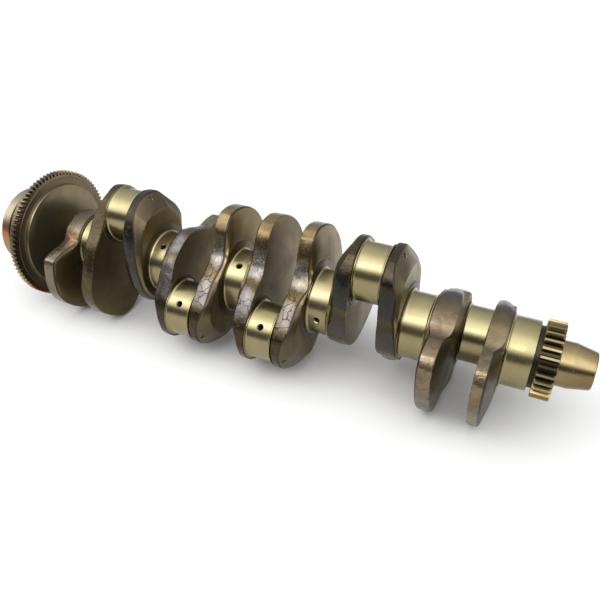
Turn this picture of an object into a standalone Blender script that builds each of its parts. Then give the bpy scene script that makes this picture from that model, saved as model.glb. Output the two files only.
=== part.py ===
"""Forged crankshaft of an inline six-cylinder engine, lying as it rests on a bench.

Metres, +Z up. +X runs along the crank axis from the flywheel flange towards the nose.
The origin is on the crank axis, on the face of the flange that the flywheel rests on.
Angles are measured about the crank axis from +Y towards +Z. Journals and webs are counted
from the nose, so main journal 1 carries the gear and main journal 7 the flange.
"""

import bmesh
import bpy
import numpy as np
from math import cos, hypot, pi, radians, sin
from mathutils import Matrix, Vector

MM = 0.001
GAP = 0.3 * MM

# Running gear
PITCH = 132 * MM              # from one cylinder to the next
THROW = 67 * MM               # crank radius, half the stroke
MAIN_RADIUS = 46.5 * MM
MAIN_LENGTH = 34 * MM
MAIN_LENGTHS = {1: 34.5 * MM, 2: 36.5 * MM}
MAIN_SHIFT = {1: 2.25 * MM, 2: 1.25 * MM}
PIN_RADIUS = 41 * MM
PIN_LENGTH = 40 * MM
PIN_LENGTHS = {1: 37.5 * MM}
PIN_SHIFT = {1: 6.25 * MM}
FILLET = 3.5 * MM             # rolled fillet at each end of a journal
COLLAR = 1.2 * MM             # machined land around each journal end
EDGE = 0.8 * MM               # broken edge at main journal 1's front end
MAIN_LAND_RADIUS = 50 * MM
PIN_LAND_RADIUS = 43.5 * MM
PIN_ANGLE = {1: -30, 2: 90, 3: 210, 4: 210, 5: 90, 6: -30}

# Webs. A web's main side carries the main journal and its pin side the crankpin.
MAIN_SIDE_SETBACK = 6 * MM    # draft of the main side between the hub and the rim
PIN_SIDE_SETBACK = 2 * MM
MAIN_SIDE_SETBACKS = {1: 9 * MM, 2: 5 * MM}
PIN_SIDE_SETBACKS = {1: 1 * MM, 2: 9 * MM}
RIM_CHAMFER = 1.5 * MM
PIN_CHAMFER = 1 * MM
HUB_RADIUS = 51.5 * MM
CONE_RADIUS = 86.5 * MM       # where the turned cone over the pin end starts
CONE_DEPTH = 16 * MM          # how deep it cuts at the outermost point
WEB_TIP_RADIUS = 112 * MM
DRAFT_SHARE = 0.45            # share of hub-to-rim distance that stays at full thickness
NECK_RADIUS = 50 * MM         # a rim this near the journal keeps the hub's full thickness,
NECK_BLEND = 18 * MM          # and it has the whole draft this much further out
PIN_END_HALF_ANGLE = 66       # degrees either side of the crankpin that count as its end
PIN_END_BLEND = 20            # degrees over which the pin end blends into the rest

# Oil drillings and the plugs that close them
OIL_HOLE_RADIUS = 4 * MM
OIL_HOLE_DEPTH = 14 * MM
OIL_HOLE_LEAD = 5 * MM        # how far a drill starts outside the surface
OIL_HOLE_SIDES = 10
MAIN_OIL_ANGLES = {1: (20,), 2: (320,), 3: (181,), 4: (120,), 5: (120,), 6: (20,), 7: (120,)}
PIN_OIL_ANGLES = {1: (346, 256), 2: (16, 286), 3: (136, 226), 4: (136, 226), 5: (16, 286),
                  6: (346, 256)}
PLUGGED_WEBS = (1, 3, 5, 7, 9, 11)
PLUG_RADIUS = 3 * MM
PLUG_DEPTH = 8 * MM
PLUG_SUNK = 1.5 * MM
PLUG_HOLE_MOUTH = 6 * MM
PLUG_CENTRE_RADIUS = 104 * MM
PLUG_CENTRE_DEPTH = 12 * MM

# Round web 12 and its toothed ring
DISC_RADIUS = 84.5 * MM
DISC_PROUD = 6.4 * MM
CARRIER_RADIUS = 96 * MM
PIN_PAD_RADIUS = 46 * MM
RING_WIDTH = 11 * MM
RING_TEETH = 86
RING_ROOT_RADIUS = 100 * MM
RING_TIP_RADIUS = 105.5 * MM

# Flywheel flange
FLANGE_RADIUS = 65.5 * MM
FLANGE_THICKNESS = 16 * MM
FLANGE_BOLTS = 8
FLANGE_BOLT_CIRCLE = 46 * MM
FLANGE_BOLT_RADIUS = 6.2 * MM
FLANGE_BOLT_DEPTH = 12 * MM
FLANGE_REAR_CHAMFER = 4.5 * MM
DOWEL_RADIUS = 5 * MM
DOWEL_PROUD = 7 * MM
DOWEL_DEPTH = 9 * MM

# Nose and timing gear
GROOVE_WIDTH = 5.5 * MM
GROOVE_RADIUS = 41 * MM
GEAR_TEETH = 28
GEAR_WIDTH = 23.5 * MM
GEAR_TIP_RADIUS = 51.7 * MM
GEAR_ROOT_RADIUS = 44.5 * MM
GEAR_SEAT_RADIUS = 35 * MM
TOOTH_LAND_SHARE = 0.34       # width of a tooth tip, and of its foot, over one tooth pitch
TOOTH_FOOT_SHARE = 0.62
NOSE_RADIUS = 29.7 * MM
NOSE_END_RADIUS = 24.4 * MM
NOSE_STRAIGHT = 18 * MM
NOSE_TAPER = 25 * MM
NOSE_EDGE = 1 * MM
KEY_WIDTH = 8 * MM
KEY_HEIGHT = 7 * MM
KEY_LENGTH = 17 * MM

ROUND = 24                    # sides of the turned pieces
ROD_SIDES = 12
MAIN_7_X = FLANGE_THICKNESS + GAP / 2 + MAIN_LENGTH / 2

# Outlines of the webs as (angle, radius in mm) points of a smooth closed curve
OUTLINES = {
    1: [(70, 55), (90, 53), (112, 51.5), (132, 52), (145, 58), (154, 80), (162, 103), (173, 109),
        (190, 108), (215, 106), (238, 110), (256, 111), (270, 103), (284, 93), (300, 96),
        (316, 107), (330, 112), (342, 108), (356, 98), (12, 85), (28, 70), (48, 60)],
    2: [(70, 57), (90, 53.5), (110, 51.5), (130, 52), (145, 57), (154, 80), (162, 101), (172, 107),
        (190, 105), (212, 104), (236, 109), (256, 110), (270, 104), (284, 94), (300, 96),
        (316, 107), (330, 112), (342, 108), (356, 99), (12, 86), (28, 71), (48, 61)],
    3: [(78, 110.5), (90, 112), (104, 110), (118, 98), (133, 77), (150, 62), (172, 55), (200, 52),
        (225, 52), (246, 56), (262, 66), (278, 71), (300, 66), (325, 64), (350, 72), (8, 84),
        (25, 92), (42, 93), (60, 98)],
    4: [(76, 110), (90, 112), (104, 107), (118, 92), (132, 78), (150, 65), (170, 57), (195, 53),
        (215, 52.5), (236, 53), (256, 54), (280, 58), (298, 63), (312, 69), (326, 78), (340, 90),
        (355, 99), (12, 103), (28, 101), (45, 96), (60, 102)],
    5: [(24, 111), (44, 111), (64, 110), (82, 108), (92, 99), (101, 80), (112, 62), (130, 54),
        (152, 62), (165, 70), (176, 82), (188, 98), (199, 108), (212, 111.5), (224, 109),
        (238, 105), (252, 103), (264, 99), (275, 90), (290, 80), (307, 75), (325, 76), (342, 92),
        (354, 107), (6, 111)],
    6: [(20, 112), (40, 111), (60, 110), (76, 109), (88, 105), (97, 93), (107, 76), (122, 62),
        (138, 60), (152, 68), (164, 76), (176, 86), (188, 98), (200, 109), (212, 111.5),
        (226, 110), (240, 103), (255, 90), (270, 76), (290, 62), (312, 57), (332, 66), (345, 92),
        (356, 108), (6, 111)],
    7: [(20, 111), (40, 111), (60, 110), (76, 108), (88, 105), (99, 88), (108, 70), (120, 60),
        (142, 61), (160, 70), (173, 80), (184, 93), (196, 106), (210, 111.5), (225, 107),
        (241, 98), (258, 87), (276, 72), (298, 58), (318, 56), (335, 68), (347, 92), (357, 107),
        (7, 110)],
    8: [(32, 98), (40, 84), (50, 69), (66, 64), (84, 66), (102, 70), (124, 71), (142, 74),
        (158, 76), (172, 82), (186, 95), (198, 107), (210, 111.5), (225, 110), (240, 99),
        (256, 88), (270, 86), (284, 95), (298, 107), (316, 111), (338, 112), (0, 111), (18, 108)],
    9: [(78, 110), (90, 112), (101, 110.5), (112, 105), (125, 93), (141, 81), (158, 71),
        (178, 65), (202, 64), (226, 67), (244, 70), (262, 67), (280, 60), (300, 56), (328, 54),
        (355, 55), (20, 66), (38, 85), (52, 91), (65, 97)],
    10: [(76, 107), (90, 112), (103, 105), (117, 91), (134, 84), (152, 85), (168, 88), (182, 94),
         (196, 104), (212, 109), (232, 110), (250, 110), (262, 104), (272, 92), (285, 74),
         (300, 62), (322, 56), (346, 54), (12, 56), (32, 66), (50, 86), (63, 97)],
    11: [(75, 51.5), (105, 51.5), (132, 52), (150, 53), (160, 62), (166, 80), (172, 97),
         (184, 102), (204, 111), (226, 112), (248, 111), (262, 105), (275, 95), (290, 90),
         (305, 98), (318, 108), (330, 112), (342, 108), (356, 96), (12, 80), (28, 65), (48, 55)],
}
CURVE_STEPS = 2


def clear_scene():
    for obj in list(bpy.data.objects):
        bpy.data.objects.remove(obj, do_unlink=True)


def material(name, colour, roughness, metallic=1.0):
    mat = bpy.data.materials.new(name)
    mat.use_nodes = True
    shader = mat.node_tree.nodes["Principled BSDF"]
    shader.inputs["Base Color"].default_value = (*colour, 1)
    shader.inputs["Roughness"].default_value = roughness
    shader.inputs["Metallic"].default_value = metallic
    mat.diffuse_color = (*colour, 1)
    return mat


def make_node(name, bm, mat, smooth=True):
    bmesh.ops.recalc_face_normals(bm, faces=bm.faces)
    mesh = bpy.data.meshes.new(name)
    bm.to_mesh(mesh)
    bm.free()
    if smooth:
        mesh.shade_smooth()
        mesh.set_sharp_from_angle(angle=radians(35))
    obj = bpy.data.objects.new(name, mesh)
    obj.data.materials.append(mat)
    bpy.context.scene.collection.objects.link(obj)
    return obj


def loft(bm, rings):
    """Closed solid through equal rings of points, with a flat cap on the first and the last."""
    made = [[bm.verts.new(point) for point in ring] for ring in rings]
    count = len(made[0])
    for low, high in zip(made, made[1:]):
        for i in range(count):
            j = (i + 1) % count
            bm.faces.new((low[i], low[j], high[j], high[i]))
    bm.faces.new(made[0])
    bm.faces.new(made[-1])


def turned(profile, centre=(0, 0), sides=ROUND):
    """Solid turned about an axis along X through centre; profile is (x, radius) from end to end."""
    bm = bmesh.new()
    rings = []
    for x, radius in profile:
        rings.append([(x, y, z) for y, z in circle(radius, sides, centre)])
    loft(bm, rings)
    return bm


def tube(x_start, x_end, outer, inner):
    """Ring solid between an outer and an inner closed outline of (y, z) points."""
    bm = bmesh.new()
    walls = []
    for outline in (outer, inner):
        walls.append([[bm.verts.new((x, y, z)) for y, z in outline] for x in (x_start, x_end)])
        low, high = walls[-1]
        for i in range(len(low)):
            j = (i + 1) % len(low)
            bm.faces.new((low[i], low[j], high[j], high[i]))
    for side in (0, 1):
        loops = [walls[0][side], walls[1][side]]
        edges = [bm.edges.get((loop[i], loop[(i + 1) % len(loop)]))
                 for loop in loops for i in range(len(loop))]
        bmesh.ops.triangle_fill(bm, use_beauty=True, edges=edges)
    return bm


def circle(radius, sides=ROUND, centre=(0, 0)):
    turns = [2 * pi * k / sides for k in range(sides)]
    return [(centre[0] + radius * cos(turn), centre[1] + radius * sin(turn)) for turn in turns]


def polar(radius, angle):
    return radius * cos(radians(angle)), radius * sin(radians(angle))


def cutter(name, bm):
    obj = make_node(name, bm, None, smooth=False)
    obj.hide_render = True
    obj.display_type = "WIRE"
    return obj


def boolean(obj, other, operation):
    modifier = obj.modifiers.new(other.name, "BOOLEAN")
    modifier.operation = operation
    modifier.object = other


def rod_along(direction, start, length, radius, sides=ROD_SIDES):
    """Cylinder that starts at a point and runs along a direction."""
    bm = bmesh.new()
    turn = Vector(direction).to_track_quat("Z", "Y").to_matrix().to_4x4()
    middle = Vector(start) + Vector(direction).normalized() * length / 2
    bmesh.ops.create_cone(bm, cap_ends=True, segments=sides, radius1=radius, radius2=radius,
                          depth=length, matrix=Matrix.Translation(middle) @ turn)
    return bm


def main_ends(number):
    """Rear and front end of a main journal."""
    centre = MAIN_7_X + (7 - number) * PITCH + MAIN_SHIFT.get(number, 0)
    half = MAIN_LENGTHS.get(number, MAIN_LENGTH) / 2
    return centre - half, centre + half


def pin_ends(number):
    """Rear and front end of a crankpin."""
    centre = MAIN_7_X + (6.5 - number) * PITCH + PIN_SHIFT.get(number, 0)
    half = PIN_LENGTHS.get(number, PIN_LENGTH) / 2
    return centre - half, centre + half


def journal_profile(ends, radius, land_radius, plain_front=False):
    """Cylinder with a land and a rolled fillet at each end, or a plain edge at its front end."""
    rear, front = ends[0] + GAP / 2, ends[1] - GAP / 2
    profile = [(0, land_radius), (COLLAR, land_radius)]
    for step in (0, 45, 90):
        turn = radians(step)
        profile.append((COLLAR + FILLET * (1 - cos(turn)), radius + FILLET * (1 - sin(turn))))
    front_profile = [(0, radius - EDGE), (EDGE, radius)] if plain_front else profile
    return ([(rear + x, r) for x, r in profile]
            + [(front - x, r) for x, r in reversed(front_profile)])


def drill(obj, x, centre, angle, surface_radius):
    """Blind radial oil hole in a journal."""
    direction = Vector((0, *polar(1, angle)))
    outside = Vector((x, *centre)) + direction * (surface_radius + OIL_HOLE_LEAD)
    rod = rod_along(-direction, outside, OIL_HOLE_DEPTH + OIL_HOLE_LEAD, OIL_HOLE_RADIUS,
                    OIL_HOLE_SIDES)
    boolean(obj, cutter(f"cut_{obj.name}_{angle}", rod), "DIFFERENCE")


def build_journals(steel):
    for number in range(1, 8):
        ends = main_ends(number)
        obj = make_node(f"main_journal_{number}",
                        turned(journal_profile(ends, MAIN_RADIUS, MAIN_LAND_RADIUS, number == 1)),
                        steel)
        for angle in MAIN_OIL_ANGLES[number]:
            drill(obj, sum(ends) / 2, (0, 0), angle, MAIN_RADIUS)
    for number in range(1, 7):
        ends = pin_ends(number)
        centre = polar(THROW, PIN_ANGLE[number])
        obj = make_node(f"crankpin_{number}",
                        turned(journal_profile(ends, PIN_RADIUS, PIN_LAND_RADIUS), centre), steel)
        for angle in PIN_OIL_ANGLES[number]:
            drill(obj, sum(ends) / 2, centre, angle, PIN_RADIUS)


def closed_curve(points, steps=CURVE_STEPS):
    """Centripetal Catmull-Rom curve through polar points (degrees, millimetres)."""
    nodes = [np.array(polar(radius * MM, angle)) for angle, radius in points]
    count = len(nodes)
    curve = []
    for i in range(count):
        p0, p1, p2, p3 = (nodes[(i + k) % count] for k in (-1, 0, 1, 2))
        knots = [0.0]
        for a, b in ((p0, p1), (p1, p2), (p2, p3)):
            knots.append(knots[-1] + np.linalg.norm(b - a) ** 0.5)
        t0, t1, t2, t3 = knots
        for k in range(steps):
            t = t1 + (t2 - t1) * k / steps
            a1 = (t1 - t) / (t1 - t0) * p0 + (t - t0) / (t1 - t0) * p1
            a2 = (t2 - t) / (t2 - t1) * p1 + (t - t1) / (t2 - t1) * p2
            a3 = (t3 - t) / (t3 - t2) * p2 + (t - t2) / (t3 - t2) * p3
            b1 = (t2 - t) / (t2 - t0) * a1 + (t - t0) / (t2 - t0) * a2
            b2 = (t3 - t) / (t3 - t1) * a2 + (t - t1) / (t3 - t1) * a3
            curve.append((t2 - t) / (t2 - t1) * b1 + (t - t1) / (t2 - t1) * b2)
    return curve


def smoothstep(value):
    value = min(max(value, 0.0), 1.0)
    return value * value * (3 - 2 * value)


def web_rings(number, thickness, pin_angle):
    """Four outlines of a web from its main side to its pin side, as (depth, y, z) points.

    The rim is thinner than the hub. Over the pin end the main side is cut back by a cone,
    and the pin side stays flat to carry the crankpin.
    """
    main_draft = MAIN_SIDE_SETBACKS.get(number, MAIN_SIDE_SETBACK) - RIM_CHAMFER
    pin_draft = PIN_SIDE_SETBACKS.get(number, PIN_SIDE_SETBACK) - PIN_CHAMFER
    rings = [[], [], [], []]
    for y, z in closed_curve(OUTLINES[number]):
        radius = hypot(y, z)
        angle = np.degrees(np.arctan2(z, y))
        off_pin = abs((angle - pin_angle + 180) % 360 - 180)
        over_pin = smoothstep((PIN_END_HALF_ANGLE - off_pin) / PIN_END_BLEND)
        beyond_neck = smoothstep((radius - NECK_RADIUS) / NECK_BLEND)
        main_setback = RIM_CHAMFER + main_draft * beyond_neck
        pin_setback = PIN_CHAMFER + pin_draft * beyond_neck
        drafted = HUB_RADIUS + (radius - HUB_RADIUS) * DRAFT_SHARE
        cone_share = smoothstep((radius - CONE_RADIUS) / (WEB_TIP_RADIUS - CONE_RADIUS))
        cone = main_setback + (CONE_DEPTH - main_setback) * cone_share * over_pin
        main_face = drafted + (min(radius - RIM_CHAMFER, CONE_RADIUS) - drafted) * over_pin
        pin_face = drafted + (radius - RIM_CHAMFER - drafted) * over_pin
        pin_edge = pin_setback + (PIN_CHAMFER - pin_setback) * over_pin
        levels = ((0, main_face), (cone, radius), (thickness - pin_edge, radius),
                  (thickness, pin_face))
        for ring, (depth, reach) in zip(rings, levels):
            ring.append((depth, y * reach / radius, z * reach / radius))
    return rings


def build_webs(forged):
    """Web 2k-1 joins main journal k to crankpin k, and web 2k joins crankpin k to main k+1."""
    for number in sorted(OUTLINES):
        pin = (number + 1) // 2
        if number % 2 == 1:
            inward, main_face, pin_face = -1, main_ends(pin)[0], pin_ends(pin)[1]
        else:
            inward, main_face, pin_face = 1, main_ends(pin + 1)[1], pin_ends(pin)[0]
        start = main_face + inward * GAP / 2
        rings = web_rings(number, abs(pin_face - main_face) - GAP, PIN_ANGLE[pin])
        bm = bmesh.new()
        loft(bm, [[(start + inward * depth, y, z) for depth, y, z in ring] for ring in rings])
        obj = make_node(f"web_{number}", bm, forged)
        if number in PLUGGED_WEBS:
            rod = plug_rod(number, PLUG_RADIUS + GAP, PLUG_DEPTH + GAP, PLUG_HOLE_MOUTH)
            boolean(obj, cutter(f"cut_plug_{number}", rod), "DIFFERENCE")


def plug_rod(number, radius, depth, proud):
    """Rod square to the cone over a web's pin end, where the oil gallery comes out."""
    pin = (number + 1) // 2
    radial = Vector((0, *polar(1, PIN_ANGLE[pin])))
    normal = Vector((WEB_TIP_RADIUS - CONE_RADIUS, 0, 0)) + radial * CONE_DEPTH
    normal.normalize()
    mouth = Vector((main_ends(pin)[0] - PLUG_CENTRE_DEPTH, 0, 0)) + radial * PLUG_CENTRE_RADIUS
    return rod_along(-normal, mouth + normal * proud, depth + proud, radius, OIL_HOLE_SIDES)


def build_plugs(steel):
    for number in PLUGGED_WEBS:
        bm = plug_rod(number, PLUG_RADIUS, PLUG_DEPTH, -PLUG_SUNK)
        make_node(f"gallery_plug_{(number + 1) // 2}", bm, steel)


def toothed_outline(teeth, root, tip):
    """Outline of straight-sided teeth."""
    corners = ((root, -TOOTH_FOOT_SHARE), (tip, -TOOTH_LAND_SHARE), (tip, TOOTH_LAND_SHARE),
               (root, TOOTH_FOOT_SHARE))
    outline = []
    for k in range(teeth):
        for radius, share in corners:
            angle = 2 * pi * (k + share / 2) / teeth
            outline.append((radius * cos(angle), radius * sin(angle)))
    return outline


def build_rear(machined, bronze, steel):
    front = pin_ends(6)[0] - GAP / 2
    back = main_ends(7)[1] + GAP / 2
    step = front - DISC_PROUD
    bm = turned([(back, CARRIER_RADIUS - RIM_CHAMFER), (back + RIM_CHAMFER, CARRIER_RADIUS),
                 (step, CARRIER_RADIUS), (step, DISC_RADIUS), (front - RIM_CHAMFER, DISC_RADIUS),
                 (front, DISC_RADIUS - RIM_CHAMFER)], sides=2 * ROUND)
    web = make_node("web_12_round", bm, machined)
    pin_centre = polar(THROW, PIN_ANGLE[6])
    pad = turned([(step, PIN_PAD_RADIUS), (front, PIN_PAD_RADIUS)], pin_centre)
    boolean(web, cutter("pin_pad", pad), "UNION")

    ring_front = step - GAP
    teeth = toothed_outline(RING_TEETH, RING_ROOT_RADIUS, RING_TIP_RADIUS)
    bore = circle(CARRIER_RADIUS + GAP, 2 * ROUND)
    make_node("toothed_ring", tube(ring_front - RING_WIDTH, ring_front, teeth, bore), bronze,
              smooth=False)

    flange_front = main_ends(7)[0] - GAP / 2
    bm = turned([(0, FLANGE_RADIUS - FLANGE_REAR_CHAMFER), (FLANGE_REAR_CHAMFER / 3, FLANGE_RADIUS),
                 (flange_front - RIM_CHAMFER, FLANGE_RADIUS),
                 (flange_front, FLANGE_RADIUS - RIM_CHAMFER)], sides=2 * ROUND)
    flange = make_node("rear_flange", bm, machined)
    for k in range(FLANGE_BOLTS):
        start = Vector((-MM, *polar(FLANGE_BOLT_CIRCLE, (k + 0.5) * 360 / FLANGE_BOLTS)))
        rod = rod_along((1, 0, 0), start, FLANGE_BOLT_DEPTH + MM, FLANGE_BOLT_RADIUS)
        boolean(flange, cutter(f"cut_bolt_{k + 1}", rod), "DIFFERENCE")
    start = Vector((-MM, *polar(FLANGE_BOLT_CIRCLE, 90)))
    rod = rod_along((1, 0, 0), start, DOWEL_DEPTH + GAP + MM, DOWEL_RADIUS + GAP)
    boolean(flange, cutter("cut_dowel", rod), "DIFFERENCE")
    start = Vector((-DOWEL_PROUD, *polar(FLANGE_BOLT_CIRCLE, 90)))
    dowel = rod_along((1, 0, 0), start, DOWEL_DEPTH + DOWEL_PROUD, DOWEL_RADIUS)
    make_node("flange_dowel", dowel, steel)


def key_box(length, play, x_centre):
    """Box for the gear's key or, with some play, for its slot."""
    bm = bmesh.new()
    size = Matrix.Diagonal((length + 2 * play, KEY_WIDTH + 2 * play, KEY_HEIGHT + 2 * play, 1))
    place = Matrix.Translation((x_centre, 0, GEAR_SEAT_RADIUS))
    bmesh.ops.create_cube(bm, size=1, matrix=place @ size)
    return bm


def build_nose(machined, bronze, steel):
    start = main_ends(1)[1] + GAP / 2
    gear_start = start + GROOVE_WIDTH
    gear_end = gear_start + GEAR_WIDTH
    shoulder = gear_end - GAP
    taper = gear_end + NOSE_STRAIGHT
    end = taper + NOSE_TAPER
    bm = turned([(start, GROOVE_RADIUS), (gear_start - GAP, GROOVE_RADIUS),
                 (gear_start - GAP, GEAR_SEAT_RADIUS), (shoulder, GEAR_SEAT_RADIUS),
                 (shoulder, NOSE_RADIUS), (taper, NOSE_RADIUS), (end - NOSE_EDGE, NOSE_END_RADIUS),
                 (end, NOSE_END_RADIUS - NOSE_EDGE)])
    stub = make_node("nose_stub", bm, machined)

    teeth = toothed_outline(GEAR_TEETH, GEAR_ROOT_RADIUS, GEAR_TIP_RADIUS)
    bm = tube(gear_start, gear_end, teeth, circle(GEAR_SEAT_RADIUS + GAP))
    gear = make_node("front_gear", bm, bronze, smooth=False)

    key_x = (gear_start + gear_end) / 2
    slot = cutter("cut_key", key_box(GEAR_WIDTH + KEY_HEIGHT, GAP, key_x))
    boolean(gear, slot, "DIFFERENCE")
    seat = cutter("cut_key_seat", key_box(KEY_LENGTH, GAP, key_x))
    boolean(stub, seat, "DIFFERENCE")
    make_node("gear_key", key_box(KEY_LENGTH, 0, key_x), steel, smooth=False)


def build():
    clear_scene()
    journal_steel = material("journal_steel", (0.62, 0.58, 0.44), 0.28)
    forged = material("forged_web", (0.20, 0.16, 0.12), 0.45)
    machined = material("machined_steel", (0.50, 0.43, 0.30), 0.32)
    gear_steel = material("gear_steel", (0.48, 0.40, 0.26), 0.38)
    bright = material("bright_steel", (0.45, 0.43, 0.40), 0.35)
    build_journals(journal_steel)
    build_webs(forged)
    build_plugs(bright)
    build_rear(machined, gear_steel, bright)
    build_nose(machined, gear_steel, bright)


build()
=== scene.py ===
"""Crankshaft on a pale floor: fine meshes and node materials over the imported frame."""
from math import atan2, cos, degrees, hypot, pi, radians, sin

import bmesh
import bpy
import numpy as np
from mathutils import Matrix, Vector, noise


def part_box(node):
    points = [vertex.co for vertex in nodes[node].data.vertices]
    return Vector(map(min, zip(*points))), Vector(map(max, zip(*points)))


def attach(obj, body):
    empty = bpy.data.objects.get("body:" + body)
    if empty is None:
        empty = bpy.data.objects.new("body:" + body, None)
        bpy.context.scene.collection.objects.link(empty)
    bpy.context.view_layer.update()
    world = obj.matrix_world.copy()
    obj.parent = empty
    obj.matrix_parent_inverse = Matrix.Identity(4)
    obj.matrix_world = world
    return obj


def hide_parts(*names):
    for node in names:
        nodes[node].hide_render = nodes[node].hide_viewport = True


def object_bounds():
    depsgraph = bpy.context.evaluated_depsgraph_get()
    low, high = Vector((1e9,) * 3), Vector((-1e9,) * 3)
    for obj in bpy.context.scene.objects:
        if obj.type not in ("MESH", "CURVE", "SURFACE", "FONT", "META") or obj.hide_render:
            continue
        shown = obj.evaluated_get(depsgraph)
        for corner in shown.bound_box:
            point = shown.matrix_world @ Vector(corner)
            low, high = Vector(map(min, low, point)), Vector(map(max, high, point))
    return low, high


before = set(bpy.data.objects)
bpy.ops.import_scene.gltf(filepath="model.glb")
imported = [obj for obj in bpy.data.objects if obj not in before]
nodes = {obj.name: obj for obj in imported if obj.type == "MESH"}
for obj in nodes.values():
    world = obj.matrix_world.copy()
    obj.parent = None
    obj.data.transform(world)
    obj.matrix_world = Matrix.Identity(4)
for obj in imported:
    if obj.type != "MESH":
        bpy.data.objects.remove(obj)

MM = 0.001
cad_low, cad_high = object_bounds()

PIN_NUMBERS = range(1, 7)
MAIN_NUMBERS = range(1, 8)
WEB_NUMBERS = range(1, 12)

ROUND = 160                   # sides of a fine turned piece
OUTLINE_STEPS = 10            # fine outline points for each point of a web's outline
LAND = 1.2 * MM               # machined land at the end of a journal
LAND_BEVEL = 0.5 * MM
FRONT_BEVEL = 0.6 * MM        # edge of main journal 1 on its nose side
FILLET = 3.4 * MM
FILLET_STEPS = 6
CONE_RADIUS = 86.5 * MM       # where the turned cone over a web's pin end starts
CONE_DEPTH = 16 * MM
WEB_TIP_RADIUS = 112 * MM
MAIN_SETBACK = 6 * MM         # draft between a web's face and its rim
PIN_SETBACK = 2 * MM
# webs whose draft differs
MAIN_SETBACKS = {1: 9 * MM, 2: 5 * MM}
PIN_SETBACKS = {1: 1 * MM, 2: 9 * MM}
PIN_END_SETBACK = 0.8 * MM    # on the pin side, over the crankpin
PLUG_RADIUS = 3.1 * MM
PLUG_MOUTH_RADIUS = 3.9 * MM
PLUG_HALF_DEPTH = 4.75 * MM   # from a plug's middle out to the face it sits in
PIN_END_HALF_ANGLE = 66       # degrees either side of the crankpin that count as its end
PIN_END_BLEND = 20
NECK_RADIUS = 50 * MM         # a rim this near the journal keeps the hub's full thickness
NECK_BLEND = 18 * MM
RIDGE = 2.0 * MM              # height of the forging's parting ridge along a neck
RIDGE_END_RADIUS = 100 * MM   # the ridge has faded out where the rim is this far from the axis
RIDGE_BLEND = 22 * MM
RIDGE_POWER = 0.85            # 1 makes a ridge with straight sides
BOSS_HEIGHT = 1.0 * MM        # step between a journal's boss and the web face
BOSS_MARGIN = 0.6 * MM        # least distance from a boss to the chamfer
MAIN_BOSS_RADIUS = 59 * MM
PIN_BOSS_RADIUS = 50 * MM
LAND_REACH = 51 * MM          # a parting ridge's sides come no nearer to the axis
BORE_RADIUS = 34 * MM         # inner ring of a web's main side, hidden behind the journal
PIN_FACE_INNER = 12 * MM      # inner ring of its pin side, closed by one flat face
LOBE_START = 0.15             # share of the way from boss to edge where the main side falls away
LOBE_POWER = 1.25             # 1 makes it fall away evenly
PIN_FACE_POWER = 1.3          # the same for the pin side
CONE_MOST = 0.82              # the cone starts within this share of the rim's radius
CONE_LEAST = 0.4              # and past this share of the way from boss to edge
EDGE_MAIN = 2.2 * MM          # chamfer between the rim and each side of a web
EDGE_PIN = 1.5 * MM
EDGE_LEAST_SHARE = 0.2        # share of the chamfer left where a rim is nearest to the axis
EDGE_BLEND = 6 * MM
OIL_HOLE_RADIUS = 4.0 * MM
OIL_MOUTH_RADIUS = 4.9 * MM
OIL_MOUTH_SINK = 0.35 * MM
OIL_HOLE_DEPTH = 16 * MM
DARK_DEPTH = 1.2 * MM         # a hole's wall is painted near-black from this far below the surface, painted shade in the hole
# angles of the oil holes round each journal
MAIN_OIL = {1: (20,), 2: (320,), 3: (181,), 4: (120,), 5: (120,), 6: (20,), 7: (120,)}
PIN_OIL = {1: (346, 256), 2: (16, 286), 3: (136, 226), 4: (136, 226), 5: (16, 286), 6: (346, 256)}


# ---------------------------------------------------------------- measures from the frame

def ends(node):
    low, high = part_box(node)
    return low[0], high[0]


def axis_of(node):
    """Where a turned node's axis crosses the YZ plane."""
    low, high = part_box(node)
    return (low[1] + high[1]) / 2, (low[2] + high[2]) / 2


def polar(radius, angle, centre=(0, 0)):
    return centre[0] + radius * cos(radians(angle)), centre[1] + radius * sin(radians(angle))


pin_axis = {k: axis_of(f"crankpin_{k}") for k in PIN_NUMBERS}
pin_angle = {k: degrees(atan2(pin_axis[k][1], pin_axis[k][0])) for k in PIN_NUMBERS}
MAIN_RADIUS = 46.5 * MM
PIN_RADIUS = 41 * MM


# ---------------------------------------------------------------- mesh helpers

def new_piece(name, bm, mats, replaced, sharp=40):
    """Makes a piece of the crank from bm, shaded smooth, with edges over sharp degrees crisp."""
    mesh = bpy.data.meshes.new(name)
    bmesh.ops.recalc_face_normals(bm, faces=bm.faces)
    bm.to_mesh(mesh)
    bm.free()
    for mat in mats:
        mesh.materials.append(mat)
    mesh.shade_smooth()
    mesh.set_sharp_from_angle(angle=radians(sharp))
    obj = bpy.data.objects.new(name, mesh)
    bpy.context.scene.collection.objects.link(obj)
    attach(obj, "root")
    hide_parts(*replaced)
    return obj


def loft(bm, rings, material_of=None):
    """Skin through equal closed rings of points, with a face across each end."""
    made = [[bm.verts.new(p) for p in ring] for ring in rings]
    count = len(made[0])
    for level, (low, high) in enumerate(zip(made, made[1:])):
        for i in range(count):
            j = (i + 1) % count
            face = bm.faces.new((low[i], low[j], high[j], high[i]))
            if material_of:
                face.material_index = material_of(level, i)
    for ring, level in ((made[0], 0), (made[-1], len(made) - 2)):
        face = bm.faces.new(ring)
        if material_of:
            face.material_index = material_of(level, 0)


def turned(bm, profile, centre=(0, 0), sides=ROUND):
    """Skin turned about an axis along X; profile is (x, radius) from end to end."""
    angles = [2 * pi * k / sides for k in range(sides)]
    loft(bm, [[(x, centre[0] + r * cos(a), centre[1] + r * sin(a)) for a in angles]
              for x, r in profile])


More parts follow.
